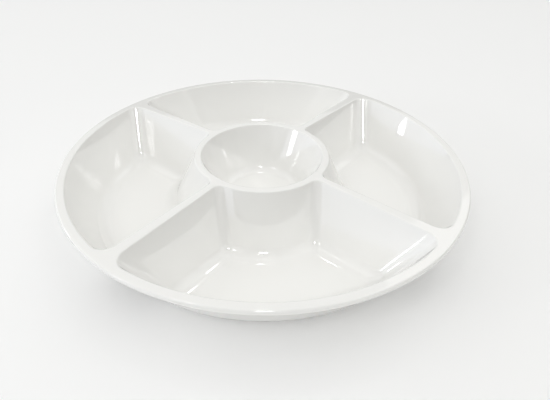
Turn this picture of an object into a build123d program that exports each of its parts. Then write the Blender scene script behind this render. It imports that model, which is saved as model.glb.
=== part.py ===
from build123d import *
from math import cos, pi, radians, sin, tan
import os

# Chip and dip server: a round tray moulded in one piece, with four compartments around a dip cup.
# Millimetres. Z is up, z = 0 is the table, and the Z axis runs through the middle of the cup.
#
# The whole moulding is made first, as one solid. It is then cut into the sections that people name:
# the rim, the dip cup and the compartments. The cuts are plain butt faces that lie inside the lands,
# so the sections put together are exactly the moulding, with nothing added and nothing lost.

# Outline
rim_radius = 152.5           # outer edge of the rim
rim_height = 41.5            # top of the rim above the table
rim_land_width = 6.5         # flat top of the rim, from its outer edge to the compartments
rim_lip_depth = 3.0          # how far the outer edge of the rim turns down
rim_edge_round = 1.4         # rounding of the rim's outer top edge

# Moulding
wall = 2.6                   # thickness of every wall, floor and land
draft = 26.0                 # lean of every wall, in degrees from upright
land_edge_round = 1.2        # rounding where a land turns down into a compartment or the cup

# Compartments
divider_width = 8.0          # top of a divider, where it meets the rim
outer_corner = 10.0          # corners next to the rim, seen from above, at the rim's height
inner_corner = 6.0           # corners next to the ring, seen from above, at the rim's height
floor_flat_corner = 1.6891   # corners of the flat part of a floor, inside the bend, seen from above
floor_round = 12.5           # bend from a wall into the floor of a compartment

# Centre ring and dip cup
cup_radius = 46.5            # mouth of the cup
ring_land_width = 5.0        # flat top of the ring around the cup
ring_rise = 3.5              # the land climbs this much from the rim's edge to the mouth of the cup
cup_depth = 35.0             # from the top of the ring to the cup's floor
cup_floor_round = 8.5        # bend from the cup's wall into its floor

# Sections
section_names = ["right_compartment", "back_compartment", "left_compartment", "front_compartment"]
rim_section_width = 5.0      # part of the rim's land, from its outer edge, that the rim section takes

# Worked out from the sizes above
lean = tan(radians(draft))
# A bend takes this share of its radius from the floor, so a floor's corner grows with the bend.
bend_share = tan(radians(90 - draft) / 2)
floor_corner = floor_flat_corner + floor_round * bend_share
wall_across = wall / cos(radians(draft))         # a wall's thickness, measured level
ring_height = rim_height + ring_rise
ring_radius = cup_radius + ring_land_width
well_radius = rim_radius - rim_land_width        # outer end of the compartments
# The first compartment lies on +X, and the others follow anticlockwise.
sector_angle = 360 / len(section_names)
clear = 1.0                                      # how far a cutting shape stands out of what it cuts


def turned(points):
    """Solid of revolution about Z of an outline given as radius and height."""
    outline = Plane.XZ * make_face(Polyline(*points, close=True))
    return revolve(outline, Axis.Z)


def compartment_outline(height, grow, corners):
    """Outline of the compartment on +X at one height, moved out all round by grow."""
    inset = (rim_height - height) * lean - grow
    outer_radius = well_radius - inset
    inner_radius = ring_radius + ring_rise * lean + inset
    half_divider = divider_width / 2 + inset
    tip = half_divider / sin(radians(sector_angle / 2))
    reach = 2 * rim_radius
    side = reach * tan(radians(sector_angle / 2))
    wedge = make_face(Polyline((tip, 0), (tip + reach, side), (tip + reach, -side), close=True))
    sector = (Circle(outer_radius) - Circle(inner_radius)) & wedge
    by_distance = sector.vertices().sort_by(lambda corner: corner.center().length)
    sector = fillet(by_distance[:2], corners[0] + grow)
    by_distance = sector.vertices().sort_by(lambda corner: corner.center().length)
    sector = fillet(by_distance[-2:], corners[1] + grow)
    return Pos(0, 0, height) * sector


def compartment_shape(floor_height, bend, grow=0):
    """Solid that fills a compartment from floor_height to just above the ring, moved out by grow."""
    top = ring_height + clear
    low = compartment_outline(floor_height, grow, (floor_corner, floor_corner))
    high = compartment_outline(top, grow, (inner_corner, outer_corner))
    shape = loft([low.face(), high.face()], ruled=True)
    floor_edges = shape.edges().group_by(Axis.Z)[0]
    return fillet(floor_edges, bend)


def cup_shape(floor_height, bend, grow=0):
    """Solid that fills the cup from floor_height to just above the ring, moved out by grow."""
    top = ring_height + clear
    mouth = cup_radius + grow + clear * lean
    foot = mouth - (top - floor_height) * lean
    shape = turned([(0, floor_height), (foot, floor_height), (mouth, top), (0, top)])
    floor_edge = shape.edges().group_by(Axis.Z)[0]
    return fillet(floor_edge, bend)


def around(shape):
    """The shape repeated once for each compartment."""
    return [Rot(0, 0, index * sector_angle) * shape for index in range(len(section_names))]


def lands():
    """Rim, divider tops and ring as one plate, with the lip turned down at its edge."""
    lip_inside = rim_radius - wall
    lip_foot = rim_height - rim_lip_depth
    plate = turned([
        (0, ring_height),
        (cup_radius, ring_height),
        (rim_radius, rim_height),
        (rim_radius, lip_foot),
        (lip_inside, lip_foot),
        (lip_inside, rim_height - wall),
        (cup_radius, ring_height - wall),
        (0, ring_height - wall),
    ])
    rim_edges = plate.edges().filter_by(lambda edge: edge.length > 2 * pi * (rim_radius - 0.1))
    return fillet(rim_edges.sort_by(Axis.Z)[-1], rim_edge_round)


def below_lands():
    """Everything under the top surface of the lands."""
    return turned([
        (0, 0),
        (rim_radius, 0),
        (rim_radius, rim_height),
        (cup_radius, ring_height),
        (0, ring_height),
    ])


def from_axis(point):
    """Distance of a point from the Z axis."""
    return Vector(point.X, point.Y, 0).length


def tray():
    """The whole moulding."""
    outside = lands()
    allowed = below_lands()
    cup_floor = ring_height - cup_depth
    for tub in around(compartment_shape(0, floor_round + wall, wall_across)):
        outside += tub & allowed
    outside += cup_shape(cup_floor - wall, cup_floor_round + wall, wall_across) & allowed
    for hollow in around(compartment_shape(wall, floor_round)):
        outside -= hollow
    body = outside - cup_shape(cup_floor, cup_floor_round)
    land = body.faces().filter_by(GeomType.CONE).sort_by(SortBy.AREA)[-1]
    curves = [edge for edge in land.edges() if edge.geom_type != GeomType.LINE]
    mouths = [edge for edge in curves if from_axis(edge @ 0.5) < well_radius + clear]
    return fillet(mouths, land_edge_round)


def disc(radius):
    """Upright cylinder from below the table to above the ring."""
    return extrude(Pos(0, 0, -clear) * Circle(radius), ring_height + 2 * clear)


def sections(body):
    """The moulding cut into its named sections, as a dictionary of solids."""
    cup_zone = disc(cup_radius + ring_land_width / 2)
    inner_zone = disc(rim_radius - rim_section_width)
    reach = 2 * rim_radius
    side = reach * tan(radians(sector_angle / 2))
    wedge = make_face(Polyline((0, 0), (reach, side), (reach, -side), close=True))
    sector_zone = extrude(Pos(0, 0, -clear) * wedge, ring_height + 2 * clear) & inner_zone - cup_zone
    pieces = {"rim": body - inner_zone, "dip_cup": body & cup_zone}
    for name, zone in zip(section_names, around(sector_zone)):
        pieces[name] = body & zone
    return pieces


os.makedirs("parts", exist_ok=True)
for node, solid in sections(tray()).items():
    export_step(solid, f"parts/{node}.step")
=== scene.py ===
# %% [markdown]
# # A chip and dip server in glossy white plastic
# The server is one injection moulding: four wells around a dip cup, all the same thickness. The CAD model
# comes in first and stays as it is. It gives the sizes, and the moulding is then modelled over it as one
# skin.

# %% Load the CAD frame
import math

import bmesh
import bpy
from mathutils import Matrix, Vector


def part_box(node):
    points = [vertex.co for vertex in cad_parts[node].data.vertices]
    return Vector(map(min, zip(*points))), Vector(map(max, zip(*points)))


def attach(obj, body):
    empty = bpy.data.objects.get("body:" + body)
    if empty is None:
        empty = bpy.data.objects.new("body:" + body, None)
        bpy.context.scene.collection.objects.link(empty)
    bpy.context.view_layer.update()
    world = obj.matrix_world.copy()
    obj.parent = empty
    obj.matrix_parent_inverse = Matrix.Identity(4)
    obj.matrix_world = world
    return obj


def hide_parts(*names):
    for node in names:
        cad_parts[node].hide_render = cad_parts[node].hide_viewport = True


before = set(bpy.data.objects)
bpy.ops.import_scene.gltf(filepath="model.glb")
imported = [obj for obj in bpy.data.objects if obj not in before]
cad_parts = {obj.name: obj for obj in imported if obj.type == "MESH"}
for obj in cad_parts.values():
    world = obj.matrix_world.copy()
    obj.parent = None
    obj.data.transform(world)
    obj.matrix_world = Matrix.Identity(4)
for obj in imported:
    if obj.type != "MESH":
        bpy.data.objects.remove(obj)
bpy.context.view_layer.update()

# %% [markdown]
# ## The sizes that the skin needs
# Millimetres are easier to read than metres, so sizes are written in them and turned into metres by MM.
# What the frame can tell is read from it: the radius of the rim and its height come from the CAD nodes'
# boxes. The rest are the moulding's own sizes, the same as in the CAD model.

# %% Sizes
MM = 0.001
rim_low, rim_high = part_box("rim")
cup_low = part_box("dip_cup")[0]
LIP = 3.0 * MM                               # the rim's edge turns down this far
RIM_RADIUS = rim_high.x
RIM_TOP = rim_low.z + LIP
RIM_LAND = 6.5 * MM                          # flat top of the rim, from its edge to the wells
WALL = 2.6 * MM
DRAFT = math.radians(26)                     # every wall leans out this much
LEAN = math.tan(DRAFT)
CUP_RADIUS = 46.5 * MM
RING_LAND = 5.0 * MM                         # flat top of the ring around the cup
RISE = 3.5 * MM                              # the lands climb this much from the rim to the cup
CUP_FLOOR = cup_low.z + WALL
CUP_BEND = 8.5 * MM                          # from the cup's wall into its floor
HALF_DIVIDER = 4.0 * MM
FLOOR_BEND = 12.5 * MM                       # from a well's wall into its floor
LAND_ROUND = 1.2 * MM                        # where a land turns down into a well or the cup
RIM_ROUND = 1.4 * MM                         # the rim's outer top edge
OUTER_CORNER = 10.0 * MM                     # corners of a well's mouth beside the rim
INNER_CORNER = 6.0 * MM                      # and beside the ring
FLOOR_CORNER = 9.5 * MM                      # all four corners of its floor line
WELLS = 4
QUARTER_TURN = math.radians(90)              # from one well to the next
WELL_RADIUS = RIM_RADIUS - RIM_LAND
RING_TOP = RIM_TOP + RISE
print("rim radius, mm:", round(RIM_RADIUS / MM, 2), "rim top:", round(RIM_TOP / MM, 2))
print("cup floor, mm:", round(CUP_FLOOR / MM, 2))

# %% [markdown]
# ## The camera
# The camera is placed before any modelling, so that every later render can be judged from the same seat.
# It stands a little left of the front, about 31 degrees up from the middle of the rim. It is close by and has
# a fairly wide lens, which makes the front compartment look deep and the back one shallow. It is aimed at
# the front compartment, and a small shift of the lens brings the whole tray into the frame.

# %% Camera
VIEW_TURN = math.radians(-6.6)               # from the front, towards -X
VIEW_HEIGHT = math.radians(31.08)
VIEW_DISTANCE = 2.279 * RIM_RADIUS           # from the middle of the rim
AIM = Vector((-0.1005 * RIM_RADIUS, -0.6226 * RIM_RADIUS, RIM_TOP))
LENS = 28.85                                 # focal length, mm
SENSOR = 36                                  # width, mm
LENS_SHIFT = (0.0391, 0.0711)                # as shares of the sensor's width
NEAREST = 0.01                               # metres from the camera, nearer than which nothing is drawn

camera_data = bpy.data.cameras.new("camera")
camera_data.lens = LENS
camera_data.sensor_width = SENSOR
camera_data.shift_x, camera_data.shift_y = LENS_SHIFT
camera_data.clip_start = NEAREST
camera = bpy.data.objects.new("camera", camera_data)
bpy.context.scene.collection.objects.link(camera)
level = VIEW_DISTANCE * math.cos(VIEW_HEIGHT)
camera.location = (level * math.sin(VIEW_TURN), -level * math.cos(VIEW_TURN),
                   RIM_TOP + VIEW_DISTANCE * math.sin(VIEW_HEIGHT))
camera.rotation_euler = (AIM - camera.location).to_track_quat("-Z", "Y").to_euler()
bpy.context.scene.camera = camera
print("camera at", [round(c, 3) for c in camera.location])

# %% [markdown]
# ## Drawing an outline with spin and extrude
# A well is a slice of a ring with rounded corners. Its outline is drawn like a pen line: one point is
# extruded along the straight sides, and spun about a centre for every arc. Blender's spin takes the centre,
# the angle and the number of steps, so the line comes out with evenly spaced points and exact radii.
# The same function draws the mouth and the floor of a well with the same number of points, so that the two
# can be bridged point to point.

# %% Outline of a well
RIM_STEPS = 56               # points along a well's arc beside the rim
RING_STEPS = 64              # along its arc beside the ring
CORNER_STEPS = 12            # round each corner
SIDE_STEPS = 16              # along each straight side, so that its bend is shaded evenly
LINE_WELD = 0.01 * MM        # points of an outline nearer than this become one


def deselect():
    """Nothing selected, in object mode."""
    if bpy.context.object and bpy.context.object.mode == "EDIT":
        bpy.ops.object.mode_set(mode="OBJECT")
    bpy.ops.object.select_all(action="DESELECT")


def pen(start, name):
    """A new object in edit mode that holds one selected point."""
    deselect()
    bpy.ops.mesh.primitive_plane_add(size=MM, location=start)
    bpy.context.object.name = name
    bpy.ops.object.transform_apply(location=True)
    bpy.ops.object.mode_set(mode="EDIT")
    bpy.ops.mesh.select_all(action="SELECT")
    bpy.ops.mesh.merge(type="CENTER")
    return bpy.context.object


def pen_arc(centre, angle, steps):
    """Spin the pen's point about an upright axis. A positive angle turns anticlockwise seen from above."""
    bpy.ops.mesh.spin(steps=steps, angle=-angle, center=centre, axis=(0, 0, 1), use_auto_merge=False)


def pen_line(move):
    """Pull the pen's point along a straight line, in equal steps."""
    for _ in range(SIDE_STEPS):
        bpy.ops.mesh.extrude_region_move(TRANSFORM_OT_translate={"value": move / SIDE_STEPS})


def well_outline(name, height, inner, outer, half, taper, inner_corner, outer_corner):
    """Closed outline of the well on +X, drawn level at one height, between two circles and two dividers."""
    turn = QUARTER_TURN / 2 - taper
    along = Vector((math.cos(turn), math.sin(turn), 0))    # the side beside the divider
    inward = Vector((along.y, -along.x, 0))                # from that side into the well
    up = Vector((0, 0, height))
    flip = Vector((1, -1, 1))                              # the same place on the well's other half

    def corner_centre(radius, reach):
        """Centre of a corner's arc, off the side by its radius and at its reach from the middle."""
        off = half + radius
        return along * math.sqrt(reach ** 2 - off ** 2) + inward * off + up

    far = corner_centre(outer_corner, outer - outer_corner)
    near = corner_centre(inner_corner, inner + inner_corner)
    far_angle = math.atan2(far.y, far.x)
    near_angle = math.atan2(near.y, near.x)
    side_angle = turn + math.pi / 2
    outline = pen(Vector((math.cos(far_angle), math.sin(far_angle), 0)) * outer + up, name)
    pen_arc(far, side_angle - far_angle, CORNER_STEPS)
    pen_line((near - far).project(along))
    pen_arc(near, math.pi + near_angle - side_angle, CORNER_STEPS)
    pen_arc(up, -2 * near_angle, RING_STEPS)
    pen_arc(near * flip, math.pi + near_angle - side_angle, CORNER_STEPS)
    pen_line(((far - near).project(along)) * flip)
    pen_arc(far * flip, side_angle - far_angle, CORNER_STEPS)
    pen_arc(up, 2 * far_angle, RIM_STEPS)
    bpy.ops.mesh.select_all(action="SELECT")
    bpy.ops.mesh.remove_doubles(threshold=LINE_WELD)
    bpy.ops.object.mode_set(mode="OBJECT")
    print(name, "points:", len(outline.data.vertices), "edges:", len(outline.data.edges))
    return outline


def land_lift(radius):
    """How far the lands have climbed above the rim at this radius."""
    return RISE * (RIM_RADIUS - radius) / (RIM_RADIUS - CUP_RADIUS)


ring_radius = CUP_RADIUS + RING_LAND
mouth_inner = ring_radius + (RISE - land_lift(ring_radius)) * LEAN
mouth_outer = WELL_RADIUS + land_lift(WELL_RADIUS) * LEAN
half_at_ring = HALF_DIVIDER - land_lift(mouth_inner) * LEAN
half_at_rim = HALF_DIVIDER - land_lift(mouth_outer) * LEAN
mouth_taper = math.atan((half_at_rim - half_at_ring) / (mouth_outer - mouth_inner))
half_at_middle = half_at_ring - mouth_inner * math.tan(mouth_taper)
floor_inset = (RIM_TOP - WALL) * LEAN

mouth = well_outline("mouth", RIM_TOP, mouth_inner, mouth_outer, half_at_middle, mouth_taper,
                     INNER_CORNER, OUTER_CORNER)
floor_inner = ring_radius + RISE * LEAN + floor_inset
floor_outer = WELL_RADIUS - floor_inset
floor_line = well_outline("floor_line", WALL, floor_inner, floor_outer, HALF_DIVIDER + floor_inset, 0,
                          FLOOR_CORNER, FLOOR_CORNER)

# %% [markdown]
# ## Draping the mouth on the lands
# The rim, the divider tops and the ring lie on one very shallow cone. The mouth was drawn level, at the
# height of the rim's edge, so it is now lifted onto that cone with a Shrinkwrap modifier that projects
# straight up and down. The cone is only a jig, and is deleted afterwards.

# %% Drape
ROUND_STEPS = 256            # round the rim and the cup
deselect()
bpy.ops.mesh.primitive_cone_add(vertices=ROUND_STEPS, radius1=RIM_RADIUS, radius2=CUP_RADIUS, depth=RISE,
                                end_fill_type="NOTHING", location=(0, 0, RIM_TOP + RISE / 2))
jig = bpy.context.object
drape = mouth.modifiers.new("drape", "SHRINKWRAP")
drape.target = jig
drape.wrap_method = "PROJECT"
drape.use_project_z = True
drape.use_negative_direction = True
deselect()
bpy.context.view_layer.objects.active = mouth
bpy.ops.object.modifier_apply(modifier="drape")
bpy.data.objects.remove(jig)
heights = [vert.co.z / MM for vert in mouth.data.vertices]
print("mouth lies between", round(min(heights), 2), "and", round(max(heights), 2), "mm")

# %% [markdown]
# ## One well
# Bridging the mouth and the floor line makes the leaning walls in one step, because both lines have the
# same number of points. The floor is filled in, and its edge is bevelled: on a smooth chain of edges a
# bevel is the same as the rolled fillet that a mould maker cuts there.

# %% Well
BEND_STEPS = 10              # across each bend from a well's wall to its floor
ROUND_PROFILE = 0.5          # the bevel profile that is an arc of a circle
NEAR = 0.1 * MM              # an edge or face this near a height counts as lying there


def chosen(piece, test):
    """Select the edges of a piece in edit mode that pass the test, and nothing else. Returns their number."""
    bpy.ops.mesh.select_mode(type="EDGE")
    bpy.ops.mesh.select_all(action="DESELECT")
    shape = bmesh.from_edit_mesh(piece.data)
    edges = [edge for edge in shape.edges if test(edge)]
    for edge in edges:
        edge.select = True
    bmesh.update_edit_mesh(piece.data)
    return len(edges)


def highest(edge):
    """Height of an edge's higher end."""
    return max(vert.co.z for vert in edge.verts)


def join(pieces, name):
    """Join objects into the first one, and leave it active in edit mode under a new name."""
    deselect()
    for piece in pieces:
        piece.select_set(True)
    bpy.context.view_layer.objects.active = pieces[0]
    bpy.ops.object.join()
    pieces[0].name = name
    bpy.ops.object.mode_set(mode="EDIT")
    bpy.ops.mesh.select_mode(type="EDGE")
    bpy.ops.mesh.select_all(action="SELECT")
    return pieces[0]


def bend_reach(radius):
    """How far from a sharp edge its fillet starts, where a leaning wall meets a level face."""
    return radius * math.tan((math.pi / 2 - DRAFT) / 2)


well = join([floor_line, mouth], "well")
bpy.ops.mesh.bridge_edge_loops()
chosen(well, lambda edge: highest(edge) < WALL + NEAR)
bpy.ops.mesh.edge_face_add()
chosen(well, lambda edge: highest(edge) < WALL + NEAR)
bpy.ops.mesh.bevel(offset=bend_reach(FLOOR_BEND), segments=BEND_STEPS, profile=ROUND_PROFILE, affect="EDGES")
print("well faces:", len(bmesh.from_edit_mesh(well.data).faces))

# %% [markdown]
# ## Four wells
# The wells are all alike, a quarter turn apart. Spin in its duplicate mode sets copies round the middle
# instead of sweeping a surface, so it repeats the whole well in one step.

# %% Repeat the well
bpy.ops.mesh.select_all(action="SELECT")
bpy.ops.mesh.spin(steps=WELLS - 1, angle=(WELLS - 1) * QUARTER_TURN, center=(0, 0, 0), axis=(0, 0, 1),
                  dupli=True, use_auto_merge=False)
bpy.ops.object.mode_set(mode="OBJECT")
print("faces in four wells:", len(well.data.polygons))

# %% [markdown]
# ## The dip cup
# The cup is a truncated cone with its top face taken off, and a wide bend where the wall meets the floor.

# %% Cup
CUP_BEND_STEPS = 14          # across the bend from the cup's wall to its floor
cup_depth = RING_TOP - CUP_FLOOR
cup_foot = CUP_RADIUS - cup_depth * LEAN
bpy.ops.mesh.primitive_cone_add(vertices=ROUND_STEPS, radius1=cup_foot, radius2=CUP_RADIUS, depth=cup_depth,
                                location=(0, 0, CUP_FLOOR + cup_depth / 2))
cup = bpy.context.object
bpy.ops.object.transform_apply(location=True)
bpy.ops.object.mode_set(mode="EDIT")
bpy.ops.mesh.select_mode(type="FACE")
bpy.ops.mesh.select_all(action="DESELECT")
cup_shape = bmesh.from_edit_mesh(cup.data)
for face in cup_shape.faces:
    face.select = face.calc_center_median().z > RING_TOP - NEAR
bmesh.update_edit_mesh(cup.data)
bpy.ops.mesh.delete(type="ONLY_FACE")
chosen(cup, lambda edge: highest(edge) < CUP_FLOOR + NEAR)
bpy.ops.mesh.bevel(offset=bend_reach(CUP_BEND), segments=CUP_BEND_STEPS, profile=ROUND_PROFILE,
                   affect="EDGES")
bpy.ops.object.mode_set(mode="OBJECT")
print("cup faces:", len(cup.data.polygons))

# %% [markdown]
# ## The lands
# The lands are the one top surface that the rim, the dividers and the ring share. It is filled between the
# rim's circle and the open edges of the wells and the cup, and the rim's edge is pulled down into the lip.

# %% Lands and lip
SHEET_WELD = 0.005 * MM      # points of the sheet nearer than this become one
LEVEL_NORMAL = 0.9           # a face counts as level when its normal points up or down more than this
bpy.ops.mesh.primitive_circle_add(vertices=ROUND_STEPS, radius=RIM_RADIUS, location=(0, 0, RIM_TOP))
rim_line = bpy.context.object
bpy.ops.object.transform_apply(location=True)
tray = join([well, cup, rim_line], "tray")
chosen(tray, lambda edge: len(edge.link_faces) < 2)
bpy.ops.mesh.fill(use_beauty=True)
chosen(tray, lambda edge: len(edge.link_faces) < 2)
bpy.ops.mesh.extrude_region_move(TRANSFORM_OT_translate={"value": (0, 0, -LIP)})
bpy.ops.mesh.select_all(action="SELECT")
bpy.ops.mesh.remove_doubles(threshold=SHEET_WELD)
bpy.ops.mesh.normals_make_consistent(inside=False)
bpy.ops.object.mode_set(mode="OBJECT")
top_faces = [face for face in tray.data.polygons
             if face.center.z > RIM_TOP and abs(face.normal.z) > LEVEL_NORMAL]
print("land faces:", len(top_faces), "all facing up:", all(face.normal.z > 0 for face in top_faces))

# %% [markdown]
# ## Giving the sheet its thickness
# A moulding has one wall thickness everywhere, which keeps it from sinking or warping as it cools. The
# Solidify modifier adds exactly that, on the underside. The edges where the lands turn down into the wells
# are rounded afterwards, because a round smaller than the wall would fold over itself in the offset.

# %% Thickness and soft edges
MOUTH_STEPS = 7              # across the round where a land turns down
RIM_EDGE_STEPS = 5           # across the round of the rim's outer edge
ON_LANDS = 0.08 * MM         # a point this near the shallow cone counts as lying on the lands
CORNER_ANGLE = math.radians(40)
MOUTH_LIMIT = WELL_RADIUS + 1.0 * MM         # the wells' mouths end inside this radius
thickness = tray.modifiers.new("thickness", "SOLIDIFY")
thickness.thickness = WALL
thickness.offset = -1
thickness.use_even_offset = True
thickness.use_quality_normals = True
deselect()
bpy.context.view_layer.objects.active = tray
bpy.ops.object.modifier_apply(modifier="thickness")


def on_lands(edge):
    """True for an edge that lies on the top surface of the lands."""
    heights = (RIM_TOP + land_lift(vert.co.xy.length) for vert in edge.verts)
    return all(abs(vert.co.z - height) < ON_LANDS for vert, height in zip(edge.verts, heights))


def is_corner(edge):
    """True for an edge where two faces meet at a clear angle."""
    return len(edge.link_faces) == 2 and edge.calc_face_angle() > CORNER_ANGLE


bpy.ops.object.mode_set(mode="EDIT")
mouth_edges = chosen(tray, lambda edge: on_lands(edge) and is_corner(edge)
                     and edge.verts[0].co.xy.length < MOUTH_LIMIT)
bpy.ops.mesh.bevel(offset=bend_reach(LAND_ROUND), segments=MOUTH_STEPS, profile=ROUND_PROFILE,
                   affect="EDGES", clamp_overlap=True)
rim_edges = chosen(tray, lambda edge: on_lands(edge) and is_corner(edge)
                   and edge.verts[0].co.xy.length > RIM_RADIUS - NEAR)
bpy.ops.mesh.bevel(offset=RIM_ROUND, segments=RIM_EDGE_STEPS, profile=ROUND_PROFILE,
                   affect="EDGES", clamp_overlap=True)
bpy.ops.object.mode_set(mode="OBJECT")
print("mouth edges rounded:", mouth_edges, "rim edges rounded:", rim_edges)

# %% [markdown]
# ## Smooth shading with flat parts that stay flat
# A mirror-like surface shows every facet, so the bends are shaded smooth. Smooth shading alone would also
# tilt the normals of the walls beside the bends, and they would look swollen. Weighted Normal lets the large
# faces decide, which keeps the walls and floors flat right up to the bends.

# %% Shading
SMOOTH_BELOW = 32            # degrees between two faces, up to which their edge is shaded smooth
deselect()
tray.select_set(True)
bpy.context.view_layer.objects.active = tray
bpy.ops.object.shade_smooth_by_angle(angle=math.radians(SMOOTH_BELOW))
weights = tray.modifiers.new("weights", "WEIGHTED_NORMAL")
weights.keep_sharp = True
bpy.ops.object.modifier_apply(modifier="weights")
print("tray triangles:", sum(len(face.vertices) - 2 for face in tray.data.polygons))

# %% [markdown]
# ## Polished white plastic
# The tool that moulds a glossy part is polished like a mirror, so the plastic is smooth enough to show sharp
# reflections. Three faint things keep it from looking computed. The sheet is not quite flat, because plastic
# shrinks as it cools. The polish is a little uneven. The white varies by a hair where the colour is less
# well mixed. All three are noise read from the object's own coordinates in metres, so they stay on the part.

# %% Material
WHITE = (0.908, 0.905, 0.887, 1)
WHITE_THIN = (0.898, 0.894, 0.874, 1)        # the same white where it holds less pigment
GLOSS = (0.02, 0.05)                         # roughness, from the best polished places to the worst
REFRACTION = 1.8                             # high for a plastic: the deep shine of a newly moulded part
SHRINK_DEPTH = 0.02 * MM                     # how deep the waves in the sheet are
SHRINK_WAVES = 30                            # noise features in a metre, so about one in 33 mm
POLISH_WAVES = 140                           # about one in 7 mm
COLOUR_WAVES = 22                            # about one in 45 mm

plastic = bpy.data.materials.new("white_plastic")
plastic.use_nodes = True
nodes = plastic.node_tree.nodes
links = plastic.node_tree.links
principled = nodes["Principled BSDF"]
principled.inputs["IOR"].default_value = REFRACTION
coordinates = nodes.new("ShaderNodeTexCoord")


def noise(name, waves, detail):
    """A noise texture on the object's own coordinates."""
    texture = nodes.new("ShaderNodeTexNoise")
    texture.name = name
    texture.inputs["Scale"].default_value = waves
    texture.inputs["Detail"].default_value = detail
    links.new(coordinates.outputs["Object"], texture.inputs["Vector"])
    return texture.outputs["Fac"]


shrink = nodes.new("ShaderNodeBump")
shrink.inputs["Distance"].default_value = SHRINK_DEPTH
links.new(noise("shrink_waves", SHRINK_WAVES, detail=1), shrink.inputs["Height"])
links.new(shrink.outputs["Normal"], principled.inputs["Normal"])

polish = nodes.new("ShaderNodeMapRange")
polish.inputs["To Min"].default_value = GLOSS[0]
polish.inputs["To Max"].default_value = GLOSS[1]
links.new(noise("polish", POLISH_WAVES, detail=3), polish.inputs["Value"])
links.new(polish.outputs["Result"], principled.inputs["Roughness"])

pigment = nodes.new("ShaderNodeMix")
pigment.data_type = "RGBA"
pigment.inputs["A"].default_value = WHITE_THIN
pigment.inputs["B"].default_value = WHITE
links.new(noise("pigment", COLOUR_WAVES, detail=4), pigment.inputs["Factor"])
links.new(pigment.outputs["Result"], principled.inputs["Base Color"])

tray.data.materials.clear()
tray.data.materials.append(plastic)
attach(tray, "root")
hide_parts("rim", "dip_cup", "front_compartment", "right_compartment", "back_compartment",
            "left_compartment")
print("material nodes:", [node.name for node in nodes])

# %% [markdown]
# ## A pale floor
# The part stands on a wide, matt, nearly white floor. It fills the whole picture from the camera's seat, and
# it sends soft light back up onto the underside. In a view from low down its far end shows, with the grey of
# the room above it.

# %% Floor
FLOOR_SIZE = 16.0            # metres
FLOOR_WHITE = 0.95
FLOOR_ROUGHNESS = 0.9
bpy.ops.mesh.primitive_plane_add(size=FLOOR_SIZE, location=(0, 0, 0))
floor = bpy.context.object
floor.name = "floor"
floor_paint = bpy.data.materials.new("floor_paint")
floor_paint.use_nodes = True
paint = floor_paint.node_tree.nodes["Principled BSDF"]
paint.inputs["Base Color"].default_value = (FLOOR_WHITE, FLOOR_WHITE, FLOOR_WHITE, 1)
paint.inputs["Roughness"].default_value = FLOOR_ROUGHNESS
floor.data.materials.append(floor_paint)

# %% [markdown]
# ## Light for a glossy white part
# White on white has no dark outlines, so its shape must come from reflections. A few small bright lamps give
# the sharp marks in the bends and the pale panes on the walls. Large dim panels fill in from all sides. The
# light at the front and low down is left dark: the ring's wall mirrors it, and looks a shade deeper there
# than below, where it mirrors the bright floor of its own compartment.

# %% Lights
ROOM = 0.205                 # brightness of the room behind all the lamps
LIGHT_DISTANCE = 3.0         # metres from the part to every lamp
WARM = (1.0, 1.0, 0.93)
DAYLIGHT = (0.85, 0.89, 1.0)

world = bpy.data.worlds.new("studio")
world.use_nodes = True
world.node_tree.nodes["Background"].inputs["Color"].default_value = (*WARM, 1)
world.node_tree.nodes["Background"].inputs["Strength"].default_value = ROOM
bpy.context.scene.world = world


def softbox(name, turn, height, wide, tall, brightness, tint=(1, 1, 1)):
    """A rectangular lamp aimed at the part. Turn, height, wide and tall are the angles, in degrees, at
    which the part sees it, turn counted from the front towards +X. Brightness is its power in watts for
    each square metre, divided by pi, so a lamp looks as bright in a reflection whatever its size."""
    across = 2 * LIGHT_DISTANCE * math.tan(math.radians(wide / 2))
    upright = 2 * LIGHT_DISTANCE * math.tan(math.radians(tall / 2))
    turn = math.radians(turn)
    height = math.radians(height)
    place = LIGHT_DISTANCE * Vector((math.sin(turn) * math.cos(height), -math.cos(turn) * math.cos(height),
                                     math.sin(height)))
    lamp = bpy.data.lights.new(name, "AREA")
    lamp.shape = "RECTANGLE"
    lamp.size = across
    lamp.size_y = upright
    lamp.energy = math.pi * across * upright * brightness
    lamp.color = tint
    holder = bpy.data.objects.new(name, lamp)
    bpy.context.scene.collection.objects.link(holder)
    holder.location = place
    holder.rotation_euler = (-place).to_track_quat("-Z", "Y").to_euler()


# Small bright lamps, which draw the marks in the bends
softbox("key", -3, 50, 8, 6, 32)
softbox("key_side", -50, 48, 9, 6, 6.5)
softbox("back", 172, 61, 2.6, 1.8, 24)
softbox("back_small", 120, 62, 2, 2, 35)
softbox("strip", 0, 88, 60, 2, 2.0)
softbox("window", -74, 17, 9, 7, 8)
softbox("window_back", -111, 14, 4, 5, 14)
# Large dim panels, which fill in
softbox("low_left", -95, 12, 100, 24, 1.0, DAYLIGHT)
softbox("mid_front", 0, 42, 80, 30, 0.35)
softbox("mid_left", -90, 45, 80, 36, 0.52)
softbox("mid_right", 90, 45, 80, 36, 0.64)
softbox("mid_back", 180, 45, 100, 44, 0.56)
softbox("ceiling", 0, 89, 60, 60, 0.52)
bpy.context.scene.view_settings.view_transform = "Standard"
